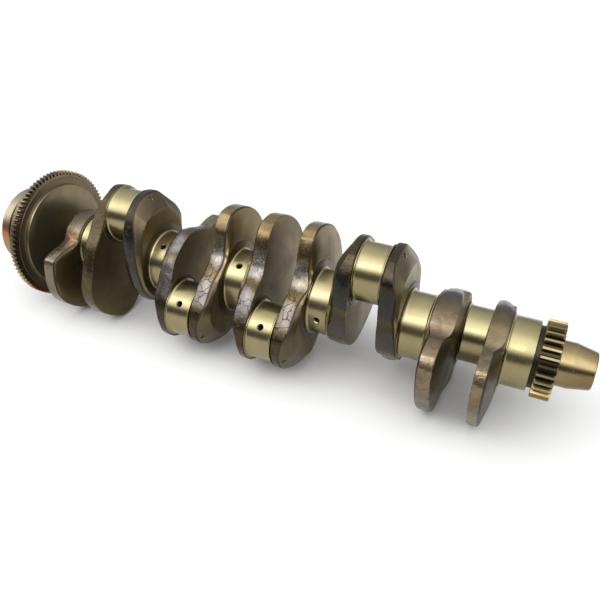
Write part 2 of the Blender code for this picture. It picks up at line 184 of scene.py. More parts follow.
def fillet(x, radius, size, steps):
    """Hollow quarter-round profile from (x, radius + size) to (x + size, radius)."""
    points = []
    for k in range(steps + 1):
        turn = radians(90 * k / steps)
        points.append((x + size * (1 - cos(turn)), radius + size * (1 - sin(turn))))
    return points


def cut(obj, cutters):
    """Cuts closed solids out of obj and keeps its materials."""
    for bm in cutters:
        mesh = bpy.data.meshes.new("cutter")
        bmesh.ops.recalc_face_normals(bm, faces=bm.faces)
        bm.to_mesh(mesh)
        bm.free()
        tool = bpy.data.objects.new("cutter", mesh)
        bpy.context.scene.collection.objects.link(tool)
        modifier = obj.modifiers.new("cut", "BOOLEAN")
        modifier.object = tool
        modifier.operation = "DIFFERENCE"
        modifier.solver = "EXACT"
        graph = bpy.context.evaluated_depsgraph_get()
        result = bpy.data.meshes.new_from_object(obj.evaluated_get(graph))
        obj.modifiers.clear()
        old = obj.data
        obj.data = result
        bpy.data.meshes.remove(old)
        bpy.data.objects.remove(tool)
        bpy.data.meshes.remove(mesh)


DRILL_SIDES = 24
CUTTER_LIFT = 6 * MM          # how far a drill's cutter stands out of the hole's mouth
CUTTER_FLARE = 0.6            # how much its radius grows there, for each unit of lift
BEVEL_SLOPE = 1.3             # depth of a mouth's bevel for each unit of its width
DRILL_POINT = 0.6             # length of a hole's pointed bottom, in radii of the hole
DRILL_POINT_RADIUS = 0.05     # radius at its very end, in radii of the hole


def turned_rings(start, direction, profile, sides):
    """Rings for loft: a profile of (distance, radius) turned about direction, from start."""
    turn = Vector(direction).normalized().to_track_quat("X", "Z").to_matrix().to_4x4()
    place = Matrix.Translation(Vector(start)) @ turn
    angles = [2 * pi * k / sides for k in range(sides)]
    return [[place @ Vector((x, r * cos(a), r * sin(a))) for a in angles] for x, r in profile]


def drill_tool(mouth, direction, radius, mouth_radius, depth):
    """Closed cutter: a blind hole with a bevelled mouth, drilled along direction from mouth."""
    bevel = (mouth_radius - radius) * BEVEL_SLOPE
    profile = [(-CUTTER_LIFT, mouth_radius + CUTTER_LIFT * CUTTER_FLARE), (0, mouth_radius),
               (bevel, radius), (depth, radius),
               (depth + radius * DRILL_POINT, radius * DRILL_POINT_RADIUS)]
    bm = bmesh.new()
    loft(bm, turned_rings(mouth, direction, profile, DRILL_SIDES))
    return bm


# ---------------------------------------------------------------- materials

def node_material(name, base, metallic=1.0):
    mat = bpy.data.materials.new(name)
    mat.use_nodes = True
    tree = mat.node_tree
    shader = tree.nodes["Principled BSDF"]
    shader.inputs["Base Color"].default_value = (*base, 1)
    shader.inputs["Metallic"].default_value = metallic
    return mat, tree, shader


def coordinates(tree, scale=(1, 1, 1), offset=(0, 0, 0)):
    source = tree.nodes.new("ShaderNodeTexCoord")
    mapping = tree.nodes.new("ShaderNodeMapping")
    mapping.inputs["Scale"].default_value = scale
    mapping.inputs["Location"].default_value = offset
    tree.links.new(source.outputs["Object"], mapping.inputs["Vector"])
    return mapping.outputs["Vector"]


def noise_node(tree, vector, scale, detail, roughness=0.55, distortion=0.0, output="Fac"):
    node = tree.nodes.new("ShaderNodeTexNoise")
    node.inputs["Scale"].default_value = scale
    node.inputs["Detail"].default_value = detail
    node.inputs["Roughness"].default_value = roughness
    node.inputs["Distortion"].default_value = distortion
    tree.links.new(vector, node.inputs["Vector"])
    return node.outputs[output]


def ramp(tree, value, stops):
    """Colour ramp; stops are (position, colour or grey), in ascending order."""
    node = tree.nodes.new("ShaderNodeValToRGB")
    elements = node.color_ramp.elements
    elements[0].position = stops[0][0]
    elements[1].position = stops[-1][0]
    for position, _ in stops[1:-1]:
        elements.new(position)
    for element, (_, colour) in zip(elements, stops):
        grey = isinstance(colour, (int, float))
        element.color = (colour, colour, colour, 1) if grey else (*colour, 1)
    tree.links.new(value, node.inputs["Fac"])
    return node.outputs["Color"]


def mix(tree, factor, a, b, blend="MIX"):
    node = tree.nodes.new("ShaderNodeMix")
    node.data_type = "RGBA"
    node.blend_type = blend
    for socket, value in ((node.inputs["Factor"], factor), (node.inputs["A"], a),
                          (node.inputs["B"], b)):
        if isinstance(value, bpy.types.NodeSocket):
            tree.links.new(value, socket)
        elif isinstance(value, (int, float)):
            socket.default_value = value
        else:
            socket.default_value = (*value, 1)
    return node.outputs["Result"]


def math_node(tree, operation, a, b=0.0):
    node = tree.nodes.new("ShaderNodeMath")
    node.operation = operation
    for socket, value in zip(node.inputs, (a, b)):
        if isinstance(value, bpy.types.NodeSocket):
            tree.links.new(value, socket)
        else:
            socket.default_value = value
    return node.outputs["Value"]


def bump(tree, shader, height, distance):
    node = tree.nodes.new("ShaderNodeBump")
    node.inputs["Distance"].default_value = distance
    tree.links.new(height, node.inputs["Height"])
    tree.links.new(node.outputs["Normal"], shader.inputs["Normal"])


BORDER_SCALE = 60             # noise scale of a stain's ragged border
BORDER_WANDER = 0.35          # how far the border wanders, as a share of the stain's outer distance


def near_place(tree, place, inner, outer):
    """1 near a place on the piece, falling to 0 between two distances, with a ragged border."""
    vector = coordinates(tree)
    away = tree.nodes.new("ShaderNodeVectorMath")
    away.operation = "DISTANCE"
    tree.links.new(vector, away.inputs[0])
    away.inputs[1].default_value = place
    ragged = noise_node(tree, vector, BORDER_SCALE, 4, 0.6, 0.5)
    wander = math_node(tree, "MULTIPLY", ragged, BORDER_WANDER * outer)
    distance = math_node(tree, "ADD", away.outputs["Value"], wander)
    share = math_node(tree, "DIVIDE", distance, outer * (1 + 0.5 * BORDER_WANDER))
    return ramp(tree, share, [(inner / outer, 1.0), (1.0, 0.0)])


def toned(colour, tone):
    """A lighter or darker colour of the same hue."""
    return tuple(value * tone for value in colour)


def along_throw(tree, throw):
    """0 at the tip of a counterweight, 1 at the outer end of the crankpin side."""
    source = tree.nodes.new("ShaderNodeTexCoord")
    dot = tree.nodes.new("ShaderNodeVectorMath")
    dot.operation = "DOT_PRODUCT"
    tree.links.new(source.outputs["Object"], dot.inputs[0])
    dot.inputs[1].default_value = throw
    return math_node(tree, "DIVIDE", math_node(tree, "ADD", dot.outputs["Value"], WEB_TIP_RADIUS),
                     2 * WEB_TIP_RADIUS)


GROUND_FILM_SCALE = 18        # noise scale of the oil film on ground steel
GROUND_RELIEF = 0.03 * MM     # height of the grinding rings
FACE_FILM_SCALE = 16
FACE_RING_SCALE = 700         # noise scale of the fine turning rings on a face
FACE_BAND_SCALE = 90          # and of the broad ones
FACE_RELIEF = 0.04 * MM
FORGED_RELIEF = 0.5 * MM
FORGED_ROUGHNESS = (0.2, 0.36)
CRACK_COLOUR = (0.012, 0.01, 0.008)
CRACK_ROUGHNESS = (0.75, 0.75, 0.75)
CRACK_SCALE = 58
LUMP_SCALE, STAIN_SCALE, GRAIN_SCALE, PATCH_SCALE = 30, 62, 300, 14    # noise scales on a forged rim


def ground_steel(name, base, dull, roughness, lines, stain=None):
    """Ground steel: fine rings round the axis, a faint oil film, soft blotches and one patch, a stain on
    the ring, flange and gear and painted shade on the nose.

    lines is the rings' noise scale along X; stain is (colour, place, inner and outer distance) of that
    patch.
    """
    mat, tree, shader = node_material(name, base)
    rings = noise_node(tree, coordinates(tree, (lines, 4, 4)), 1.0, 3, 0.6)
    film = noise_node(tree, coordinates(tree), GROUND_FILM_SCALE, 4, 0.55, 0.6)
    colour = mix(tree, ramp(tree, film, [(0.32, 0.0), (0.72, 1.0)]), base, dull)
    colour = mix(tree, ramp(tree, rings, [(0.35, 0.0), (0.75, 0.22)]), colour, dull)
    if stain:
        # the patch: a stain on most parts, painted shade on the nose
        tint, place, inner, outer = stain
        colour = mix(tree, near_place(tree, place, inner, outer), colour, tint)
    tree.links.new(colour, shader.inputs["Base Color"])
    low, high = roughness
    rough = ramp(tree, math_node(tree, "ADD", math_node(tree, "MULTIPLY", film, 0.6),
                                 math_node(tree, "MULTIPLY", rings, 0.4)),
                 [(0.3, low), (0.75, high)])
    tree.links.new(rough, shader.inputs["Roughness"])
    bump(tree, shader, rings, GROUND_RELIEF)
    return mat


DEEP_STAIN_AND_SHADE_TONE = 0.45              # the rim's darkest stains, and the painted shade in its hollow past the neck, against its own colour
# how strongly the lobe's look shows, by share of the way along the throw
LOBE_STOPS = [(0.44, 0.0), (0.47, 0.7), (0.55, 0.4), (0.64, 1.0), (0.84, 1.0), (0.9, 0.0)]


def rim_colours_with_painted_light(body, grey):
    """Colours of a rim as (share of the way along the throw, colour): its own brown and grey with painted
    light, a lighter counterweight tip as painted reflection, a lighter shoulder band as painted glint,
    darker brown below it, and painted shade in the hollow past the neck and at the pin end; the neck and
    the lobe patch take the rim's grey.
    """
    return [(0.08, toned(body, 1.3)), (0.20, toned(body, 1.05)), (0.25, toned(body, 1.3)),
            (0.29, toned(body, 0.75)), (0.40, toned(body, 0.6)), (0.455, grey),
            (0.54, toned(grey, 0.85)), (0.585, toned(body, DEEP_STAIN_AND_SHADE_TONE)), (0.635, toned(body, 0.6)),
            (0.665, toned(grey, 0.62)), (0.80, toned(grey, 0.55)), (0.87, toned(body, 0.35)),
            (1.0, toned(body, 0.30))]


def crack_lines(tree, vector, at_lobe, scratches):
    """1 on the thin crack lines of the lobe, in patches, and 0 elsewhere."""
    cracks = tree.nodes.new("ShaderNodeTexVoronoi")
    cracks.feature = "DISTANCE_TO_EDGE"
    cracks.inputs["Scale"].default_value = CRACK_SCALE
    wander = noise_node(tree, vector, LUMP_SCALE, 3, 0.5, output="Color")
    tree.links.new(mix(tree, 0.045, vector, wander), cracks.inputs["Vector"])
    line = ramp(tree, cracks.outputs["Distance"], [(0.008, 0.7), (0.03, 0.0)])
    where = ramp(tree, noise_node(tree, vector, PATCH_SCALE, 2), [(0.62 - 0.12 * scratches, 0.0),
                                                                  (0.66 - 0.12 * scratches, 1.0)])
    return mix(tree, 1.0, mix(tree, 1.0, line, where, "MULTIPLY"), at_lobe, "MULTIPLY")


def forged_steel(name, body, grey, rust, throw, seed, scratches):
    """Forged rim: its own brown with stains, a grey neck and a cracked grey lobe, under painted light along
    the throw: a lighter counterweight tip and shoulder glint, darker brown below, and painted shade in the
    hollow and on the dark pin end.

    rust is None or (place, size, colour); scratches is how much of the lobe has crack lines.
    """
    mat, tree, shader = node_material(name, body, 0.9)
    vector = coordinates(tree, offset=(seed * 0.37, seed * 0.21, seed * 0.13))
    broad = noise_node(tree, vector, LUMP_SCALE, 4, 0.55, 1.2)
    stain = noise_node(tree, vector, STAIN_SCALE, 5, 0.6, 0.8)
    grain = noise_node(tree, vector, GRAIN_SCALE, 5, 0.65, 0.3)
    place = math_node(tree, "ADD", along_throw(tree, throw),
                      math_node(tree, "MULTIPLY", math_node(tree, "SUBTRACT", broad, 0.5), 0.16))
    # painted light along the throw: lighter tip, shoulder glint, darker brown, and shade in the hollow and
    # at the pin end
    colour = ramp(tree, place, rim_colours_with_painted_light(body, grey))
    at_lobe = ramp(tree, place, LOBE_STOPS)
    stained = ramp(tree, stain, [(0.36, 0.5), (0.55, 0.0)])
    smooth = ramp(tree, at_lobe, [(0.0, 1.0), (1.0, 0.3)])
    colour = mix(tree, mix(tree, 1.0, stained, smooth, "MULTIPLY"), colour, toned(body, DEEP_STAIN_AND_SHADE_TONE))
    if rust:
        spot, size, tint = rust
        colour = mix(tree, near_place(tree, spot, 0.2 * size, size), colour, tint)
    line = crack_lines(tree, vector, at_lobe, scratches)
    colour = mix(tree, line, colour, CRACK_COLOUR)
    tree.links.new(colour, shader.inputs["Base Color"])
    low, high = FORGED_ROUGHNESS
    rough = ramp(tree, grain, [(0.35, low), (0.7, high)])
    tree.links.new(mix(tree, line, rough, CRACK_ROUGHNESS), shader.inputs["Roughness"])
    height = math_node(tree, "ADD", math_node(tree, "MULTIPLY", stain, 1.1),
                       math_node(tree, "MULTIPLY", grain, 0.35))
    height = math_node(tree, "SUBTRACT", height, math_node(tree, "MULTIPLY", line, 0.6))
    bump(tree, shader, height, FORGED_RELIEF)
    return mat


def web_face_steel(name, base, dark, seed, centre=(0, 0), roughness=(0.3, 0.48)):
    """Turned face: fine rings about an axis along X, with an oil-brown film."""
    mat, tree, shader = node_material(name, base, 0.92)
    source = tree.nodes.new("ShaderNodeTexCoord")
    split = tree.nodes.new("ShaderNodeSeparateXYZ")
    tree.links.new(source.outputs["Object"], split.inputs["Vector"])
    y = math_node(tree, "SUBTRACT", split.outputs["Y"], centre[0])
    z = math_node(tree, "SUBTRACT", split.outputs["Z"], centre[1])
    square = math_node(tree, "ADD", math_node(tree, "MULTIPLY", y, y),
                       math_node(tree, "MULTIPLY", z, z))
    distance = math_node(tree, "SQRT", square)
    join = tree.nodes.new("ShaderNodeCombineXYZ")
    tree.links.new(distance, join.inputs["X"])
    rings = noise_node(tree, join.outputs["Vector"], FACE_RING_SCALE, 3, 0.6)
    bands = noise_node(tree, join.outputs["Vector"], FACE_BAND_SCALE, 2, 0.5)
    film = noise_node(tree, coordinates(tree, offset=(seed * 0.3, 0, 0)), FACE_FILM_SCALE, 4, 0.6, 0.8)
    colour = mix(tree, ramp(tree, film, [(0.3, 0.0), (0.7, 1.0)]), base, dark)
    colour = mix(tree, ramp(tree, bands, [(0.35, 0.0), (0.7, 0.45)]), colour, dark)
    colour = mix(tree, ramp(tree, rings, [(0.4, 0.0), (0.75, 0.3)]), colour, dark)
    tree.links.new(colour, shader.inputs["Base Color"])
    low, high = roughness
    tree.links.new(ramp(tree, film, [(0.3, low), (0.7, high)]), shader.inputs["Roughness"])
    bump(tree, shader, rings, FACE_RELIEF)
    return mat


journal_mat = ground_steel("journal_ground", (0.285, 0.245, 0.135), (0.245, 0.205, 0.10),
                           (0.22, 0.30), 900)
plain_mat = ground_steel("plain_steel", (0.26, 0.235, 0.19), (0.17, 0.15, 0.115), (0.28, 0.42), 300)
# near-black: painted shade deep inside the oil holes
hole_shade_mat, _, hole_shader = node_material("oil_hole_shade", (0.02, 0.016, 0.012), 0.0)
hole_shader.inputs["Roughness"].default_value = 0.6


# ---------------------------------------------------------------- journals

def build_journal(name, radius, oil_angles, node, plain_front=False):
    """Ground journal with a land and a fillet at each end, and blind oil holes round its middle.

    A plain front has a small bevel instead of the land and fillet.
    """
    low, high = ends(node)
    centre = axis_of(node)
    box_low, box_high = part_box(node)
    land_radius = (box_high[2] - box_low[2]) / 2
    left = [(low, land_radius - LAND_BEVEL), (low + LAND_BEVEL, land_radius), (low + LAND, land_radius)]
    left += fillet(low + LAND, radius, FILLET, FILLET_STEPS)
    right = [(low + high - x, r) for x, r in reversed(left)]
    if plain_front:
        right = [(high - FRONT_BEVEL, radius), (high, radius - FRONT_BEVEL)]
    middle = [(low + (high - low) * k / 8, radius) for k in (3, 4, 5)]
    bm = bmesh.new()
    turned(bm, left + middle + right, centre)
    obj = new_piece(name, bm, [journal_mat, hole_shade_mat], [node], sharp=50)
    middle_x = (low + high) / 2
    tools = []
    for angle in oil_angles:
        direction = Vector((0, *polar(1, angle)))
        mouth = Vector((middle_x, *centre)) + direction * (radius - OIL_MOUTH_SINK)
        tools.append(drill_tool(mouth, -direction, OIL_HOLE_RADIUS, OIL_MOUTH_RADIUS, OIL_HOLE_DEPTH))
    cut(obj, tools)
    # wall faces deeper than DARK_DEPTH get painted shade
    for poly in obj.data.polygons:
        offset = hypot(poly.center.y - centre[0], poly.center.z - centre[1])
        if offset < radius - DARK_DEPTH and low + LAND < poly.center.x < high - LAND:
            poly.material_index = 1
    return obj


for number in MAIN_NUMBERS:
    build_journal(f"main_fine_{number}", MAIN_RADIUS, MAIN_OIL[number], f"main_journal_{number}",
                  number == 1)
for number in PIN_NUMBERS:
    build_journal(f"pin_fine_{number}", PIN_RADIUS, PIN_OIL[number], f"crankpin_{number}")


# ---------------------------------------------------------------- webs

# Outlines of the webs as (angle, radius in mm) points of a smooth closed curve
OUTLINES = {
    1: [(70, 55), (90, 53), (112, 51.5), (132, 52), (145, 58), (154, 80), (162, 103), (173, 109),
        (190, 108), (215, 106), (238, 110), (256, 111), (270, 103), (284, 93), (300, 96),
        (316, 107), (330, 112), (342, 108), (356, 98), (12, 85), (28, 70), (48, 60)],
    2: [(70, 57), (90, 53.5), (110, 51.5), (130, 52), (145, 57), (154, 80), (162, 101), (172, 107),
        (190, 105), (212, 104), (236, 109), (256, 110), (270, 104), (284, 94), (300, 96),
        (316, 107), (330, 112), (342, 108), (356, 99), (12, 86), (28, 71), (48, 61)],
    3: [(78, 110.5), (90, 112), (104, 110), (118, 98), (133, 77), (150, 62), (172, 55), (200, 52),
        (225, 52), (246, 56), (262, 66), (278, 71), (300, 66), (325, 64), (350, 72), (8, 84),
        (25, 92), (42, 93), (60, 98)],
    4: [(76, 110), (90, 112), (104, 107), (118, 92), (132, 78), (150, 65), (170, 57), (195, 53),
        (215, 52.5), (236, 53), (256, 54), (280, 58), (298, 63), (312, 69), (326, 78), (340, 90),
        (355, 99), (12, 103), (28, 101), (45, 96), (60, 102)],
    5: [(24, 111), (44, 111), (64, 110), (82, 108), (92, 99), (101, 80), (112, 62), (130, 54),
        (152, 62), (165, 70), (176, 82), (188, 98), (199, 108), (212, 111.5), (224, 109),
        (238, 105), (252, 103), (264, 99), (275, 90), (290, 80), (307, 75), (325, 76), (342, 92),
        (354, 107), (6, 111)],
    6: [(20, 112), (40, 111), (60, 110), (76, 109), (88, 105), (97, 93), (107, 76), (122, 62),
        (138, 60), (152, 68), (164, 76), (176, 86), (188, 98), (200, 109), (212, 111.5),
        (226, 110), (240, 103), (255, 90), (270, 76), (290, 62), (312, 57), (332, 66), (345, 92),
        (356, 108), (6, 111)],
    7: [(20, 111), (40, 111), (60, 110), (76, 108), (88, 105), (99, 88), (108, 70), (120, 60),
        (142, 61), (160, 70), (173, 80), (184, 93), (196, 106), (210, 111.5), (225, 107),
        (241, 98), (258, 87), (276, 72), (298, 58), (318, 56), (335, 68), (347, 92), (357, 107),
        (7, 110)],
    8: [(32, 98), (40, 84), (50, 69), (66, 64), (84, 66), (102, 70), (124, 71), (142, 74),
        (158, 76), (172, 82), (186, 95), (198, 107), (210, 111.5), (225, 110), (240, 99),
        (256, 88), (270, 86), (284, 95), (298, 107), (316, 111), (338, 112), (0, 111), (18, 108)],
    9: [(78, 110), (90, 112), (101, 110.5), (112, 105), (125, 93), (141, 81), (158, 71),
        (178, 65), (202, 64), (226, 67), (244, 70), (262, 67), (280, 60), (300, 56), (328, 54),
        (355, 55), (20, 66), (38, 85), (52, 91), (65, 97)],
    10: [(76, 107), (90, 112), (103, 105), (117, 91), (134, 84), (152, 85), (168, 88), (182, 94),
         (196, 104), (212, 109), (232, 110), (250, 110), (262, 104), (272, 92), (285, 74),
         (300, 62), (322, 56), (346, 54), (12, 56), (32, 66), (50, 86), (63, 97)],
    11: [(75, 51.5), (105, 51.5), (132, 52), (150, 53), (160, 62), (166, 80), (172, 97),
         (184, 102), (204, 111), (226, 112), (248, 111), (262, 105), (275, 95), (290, 90),
         (305, 98), (318, 108), (330, 112), (342, 108), (356, 96), (12, 80), (28, 65), (48, 55)],
}


# Angles of the outline points that are shoulders, where the forging turns sharply
SHOULDERS = {
    1: (112, 132, 162, 284, 342), 2: (112, 132, 162, 284, 342), 3: (104, 150, 8, 60),
    4: (104, 150, 12), 5: (92, 199, 264, 354), 6: (88, 200, 255, 356), 7: (88, 196, 258, 357),
    8: (32, 198, 256, 298), 9: (112, 158, 38), 10: (103, 134, 272, 50), 11: (160, 172, 275, 356),
}
SHOULDER_SPREAD = 2.5 * MM    # a shoulder turns within this distance either side of its point


def sharpened(corners, is_shoulder):
    """Adds a point close by on each side of a shoulder, so that the curve turns tightly there."""
    result = []
    count = len(corners)
    for i, corner in enumerate(corners):
        if not is_shoulder[i]:
            result.append(corner)
            continue
        for other in (corners[i - 1], corners[(i + 1) % count]):
            step = other - corner
            result.append(corner + step * (SHOULDER_SPREAD / np.linalg.norm(step)))
    return result


def fine_outline(number):
    """Centripetal Catmull-Rom curve through a web's outline, as (y, z) points."""
    points = OUTLINES[number]
    corners = sharpened([np.array(polar(radius * MM, angle)) for angle, radius in points],
                        [angle in SHOULDERS[number] for angle, _ in points])
    count = len(corners)
    curve = []
    for i in range(count):
        p0, p1, p2, p3 = (corners[(i + k) % count] for k in (-1, 0, 1, 2))
        knots = [0.0]
        for a, b in ((p0, p1), (p1, p2), (p2, p3)):
            knots.append(knots[-1] + np.linalg.norm(b - a) ** 0.5)
        t0, t1, t2, t3 = knots
        for k in range(OUTLINE_STEPS):
            t = t1 + (t2 - t1) * k / OUTLINE_STEPS
            a1 = (t1 - t) / (t1 - t0) * p0 + (t - t0) / (t1 - t0) * p1
            a2 = (t2 - t) / (t2 - t1) * p1 + (t - t1) / (t2 - t1) * p2
            a3 = (t3 - t) / (t3 - t2) * p2 + (t - t2) / (t3 - t2) * p3
            b1 = (t2 - t) / (t2 - t0) * a1 + (t - t0) / (t2 - t0) * a2
            b2 = (t3 - t) / (t3 - t1) * a2 + (t - t1) / (t3 - t1) * a3
            curve.append((t2 - t) / (t2 - t1) * b1 + (t - t1) / (t2 - t1) * b2)
    return curve


def smoothstep(value):
    value = min(max(value, 0.0), 1.0)
    return value * value * (3 - 2 * value)


FACE_STEPS = 7
CONE_STEPS = 5
RIM_STEPS = 8
PIN_FACE_STEPS = 10
MAIN_FACE, CONE, RIM, PIN_FACE, BOSS, EDGE = range(6)
WEB_SHARP = 34                # a web's edges sharper than this many degrees stay crisp


def web_section(number, radius, off_pin, thickness):
    """Section of a web at one outline point: (depth, radius, material) from main to pin side."""
    over_pin = smoothstep((PIN_END_HALF_ANGLE - off_pin) / PIN_END_BLEND)
    cone_share = smoothstep((radius - CONE_RADIUS) / (WEB_TIP_RADIUS - CONE_RADIUS))
    neck = smoothstep((radius - NECK_RADIUS) / NECK_BLEND)
    draft = BOSS_HEIGHT + (MAIN_SETBACKS.get(number, MAIN_SETBACK) - BOSS_HEIGHT) * neck
    main_set = draft + (CONE_DEPTH - draft) * cone_share * over_pin
    pin_draft = BOSS_HEIGHT + (PIN_SETBACKS.get(number, PIN_SETBACK) - BOSS_HEIGHT) * neck
    pin_set = pin_draft * (1 - over_pin) + PIN_END_SETBACK * over_pin
    ridge_share = smoothstep((RIDGE_END_RADIUS - radius) / RIDGE_BLEND)
    ridge = min(RIDGE * ridge_share, max(0, radius - LAND_REACH))
    side = radius - ridge
    edge_share = min(1.0, EDGE_LEAST_SHARE + max(0.0, side - LAND_REACH) / EDGE_BLEND)
    main_chamfer = EDGE_MAIN * edge_share
    pin_chamfer = EDGE_PIN * edge_share
    reach = side - main_chamfer
    boss = min(MAIN_BOSS_RADIUS, reach - BOSS_MARGIN)
    start = boss + LOBE_START * (reach - boss)
    turn_radius = max(min(CONE_RADIUS, CONE_MOST * side), boss + CONE_LEAST * (reach - boss))

    def main_depth(r):
        lobe = (main_set - BOSS_HEIGHT) * max(0.0, (r - start) / (reach - start)) ** LOBE_POWER
        cone = (main_set - BOSS_HEIGHT) * max(0.0, (r - turn_radius) / (reach - turn_radius))
        return BOSS_HEIGHT + lobe + (cone - lobe) * over_pin

    points = [(0, BORE_RADIUS, BOSS), (0, boss - 0.5 * MM, BOSS),
              (0.25 * MM, boss - 0.1 * MM, BOSS), (BOSS_HEIGHT, boss, BOSS)]
    for k in range(1, FACE_STEPS + 1):
        r = boss + (turn_radius - boss) * k / FACE_STEPS
        points.append((main_depth(r), r, MAIN_FACE))
    for k in range(1, CONE_STEPS + 1):
        r = turn_radius + (reach - turn_radius) * k / CONE_STEPS
        points.append((main_depth(r), r, CONE if over_pin > 0.5 else MAIN_FACE))
    rim_start = main_set + main_chamfer
    points.append((rim_start, side, EDGE))
    rim_end = thickness - pin_set - pin_chamfer
    for k in range(1, RIM_STEPS + 1):
        share = k / RIM_STEPS
        rise = ridge * (1 - abs(2 * share - 1)) ** RIDGE_POWER
        points.append((rim_start + (rim_end - rim_start) * share, side + rise, RIM))
    pin_reach = side - pin_chamfer
    points.append((thickness - pin_set, pin_reach, RIM))
    for k in range(1, PIN_FACE_STEPS + 1):
        r = pin_reach + (PIN_FACE_INNER - pin_reach) * k / PIN_FACE_STEPS
        slope = max(0.0, (r - 0.5 * side) / (pin_reach - 0.5 * side)) ** PIN_FACE_POWER
        points.append((thickness - BOSS_HEIGHT - (pin_set - BOSS_HEIGHT) * slope, r, PIN_FACE))
    return points


# (depth below the plate's top, distance inside its edge) of the plate's three rings
PLATE_EDGE = ((0, 0.7 * MM), (0.5 * MM, 0.1 * MM), (1.9 * MM, 0))


def boss_plate(bm, centre, angles_radii, face_x, inward):
    """Low plate with a bevelled edge, sunk a little into the web face."""
    rings = []
    for depth, shrink in PLATE_EDGE:
        rings.append([(face_x + inward * depth, *polar(r - shrink, a, centre))
                      for a, r in angles_radii])
    loft(bm, rings, material_of=lambda level, i: BOSS)


RIM_LOOKS = {
    # the rim's own brown; its grey at the neck and on the lobe, whitish on webs 5 to 8, a painted
    # reflection at the neck and the patch's own colour on the lobe; how far its crack lines spread
    1: ((0.150, 0.112, 0.066), (0.100, 0.088, 0.076), 0.6),
    2: ((0.150, 0.112, 0.068), (0.068, 0.064, 0.064), 0.5),
    3: ((0.100, 0.076, 0.046), (0.058, 0.054, 0.050), 0.7),
    4: ((0.120, 0.088, 0.048), (0.062, 0.057, 0.052), 0.6),
    5: ((0.165, 0.118, 0.054), (0.215, 0.185, 0.150), 1.0),
    6: ((0.160, 0.112, 0.050), (0.220, 0.195, 0.175), 1.6),
    7: ((0.170, 0.122, 0.058), (0.220, 0.190, 0.165), 1.2),
    8: ((0.145, 0.112, 0.072), (0.165, 0.150, 0.142), 1.4),
    9: ((0.092, 0.073, 0.046), (0.060, 0.057, 0.052), 0.9),
    10: ((0.125, 0.090, 0.042), (0.100, 0.076, 0.040), 0.2),
    11: ((0.150, 0.122, 0.080), (0.085, 0.085, 0.090), 0.7),
}
# (y, z) of a rusty patch, its size and its colour
RUST_PLACES = {11: (-50 * MM, 34 * MM, 19 * MM, (0.19, 0.060, 0.018)),
               2: (-40 * MM, 20 * MM, 20 * MM, (0.125, 0.062, 0.045))}
# how much lighter or darker a web's faces are painted than the others, painted light and shade for how each
# web's faces catch the light
FACE_PAINTED_LIGHT_TONES = {1: 0.35, 4: 1.15, 6: 1.05, 7: 1.1, 10: 0.8, 11: 0.7}


UNEVEN_HEIGHT = 0.45 * MM
UNEVEN_SHARES = {RIM: 1.0, EDGE: 1.0, MAIN_FACE: 0.12, PIN_FACE: 0.15}
WAVE_SCALE = 28
RIPPLE_SCALE = 110
RIPPLE_SHARE = 0.35           # height of the ripples against the waves


def displace(bm, seed):
    """Small forging unevenness, along the vertex normals."""
    bm.normal_update()
    for vertex in bm.verts:
        share = max((UNEVEN_SHARES.get(face.material_index, 0) for face in vertex.link_faces),
                    default=0)
        if share == 0:
            continue
        place = vertex.co + Vector((seed * 0.31, seed * 0.17, 0))
        waves = noise.noise(place * WAVE_SCALE)
        ripples = noise.noise(place * RIPPLE_SCALE)
        vertex.co += vertex.normal * UNEVEN_HEIGHT * share * (waves + RIPPLE_SHARE * ripples)


# (clean colour, film's colour) of the faces that a web's painted light and shade tone changes, and of those
# it doesn't
TONED_FACES = {"main_face": ((0.212, 0.160, 0.070), (0.135, 0.096, 0.038)),
               "cone": ((0.140, 0.111, 0.064), (0.080, 0.061, 0.034)),
               "pin_face": ((0.19, 0.142, 0.068), (0.12, 0.087, 0.040))}
PLAIN_FACES = {"boss": ((0.135, 0.110, 0.064), (0.07, 0.055, 0.034)),
               "edge": ((0.066, 0.048, 0.042), (0.03, 0.023, 0.021))}
GALLERY_DEPTH = 9 * MM
PLATE_STEP = 3                # degrees between the points of a boss plate's outline
PLATE_VIEW = 5                # degrees either side of one within which the web's edge limits it
SLIVER = 0.002 * MM           # points closer than this are merged


def between(angle, other):
    """Angle in degrees between two directions, from 0 to 180."""
    return abs((angle - other + 180) % 360 - 180)


def plate_outline(outline, centre):
    """(angle, radius) points about the crankpin of a round plate that stays inside the web."""
    about_pin = [(degrees(atan2(z - centre[1], y - centre[0])), hypot(y - centre[0], z - centre[1]))
                 for y, z in outline]
    plate = []
    for angle in range(0, 360, PLATE_STEP):
        near = [r for a, r in about_pin if between(a, angle) < PLATE_VIEW]
        plate.append((angle, min([PIN_BOSS_RADIUS] + [r - RIDGE - EDGE_PIN for r in near])))
    return plate


def web_materials(number, pin, middle_x):
    """A web's materials, in the order MAIN_FACE, CONE, RIM, PIN_FACE, BOSS, EDGE."""
    body, grey, scratches = RIM_LOOKS[number]
    rust = None
    if number in RUST_PLACES:
        rust_y, rust_z, size, tint = RUST_PLACES[number]
        rust = ((middle_x, rust_y, rust_z), size, tint)
    # a web's faces painted lighter or darker as a whole: painted light and shade
    tone = FACE_PAINTED_LIGHT_TONES.get(number, 1.0)
    looks = {face: (toned(base, tone), toned(dark, tone))
             for face, (base, dark) in TONED_FACES.items()}
    looks.update(PLAIN_FACES)
    return [
        web_face_steel(f"main_face_{number}", *looks["main_face"], number),
        web_face_steel(f"cone_{number}", *looks["cone"], number),
        forged_steel(f"rim_{number}", body, grey, rust, (0, *polar(1, pin_angle[pin])), number, scratches),
        web_face_steel(f"pin_face_{number}", *looks["pin_face"], number + 20, pin_axis[pin]),
        web_face_steel(f"boss_{number}", *looks["boss"], number + 40),
        web_face_steel(f"edge_{number}", *looks["edge"], number + 60),
    ]


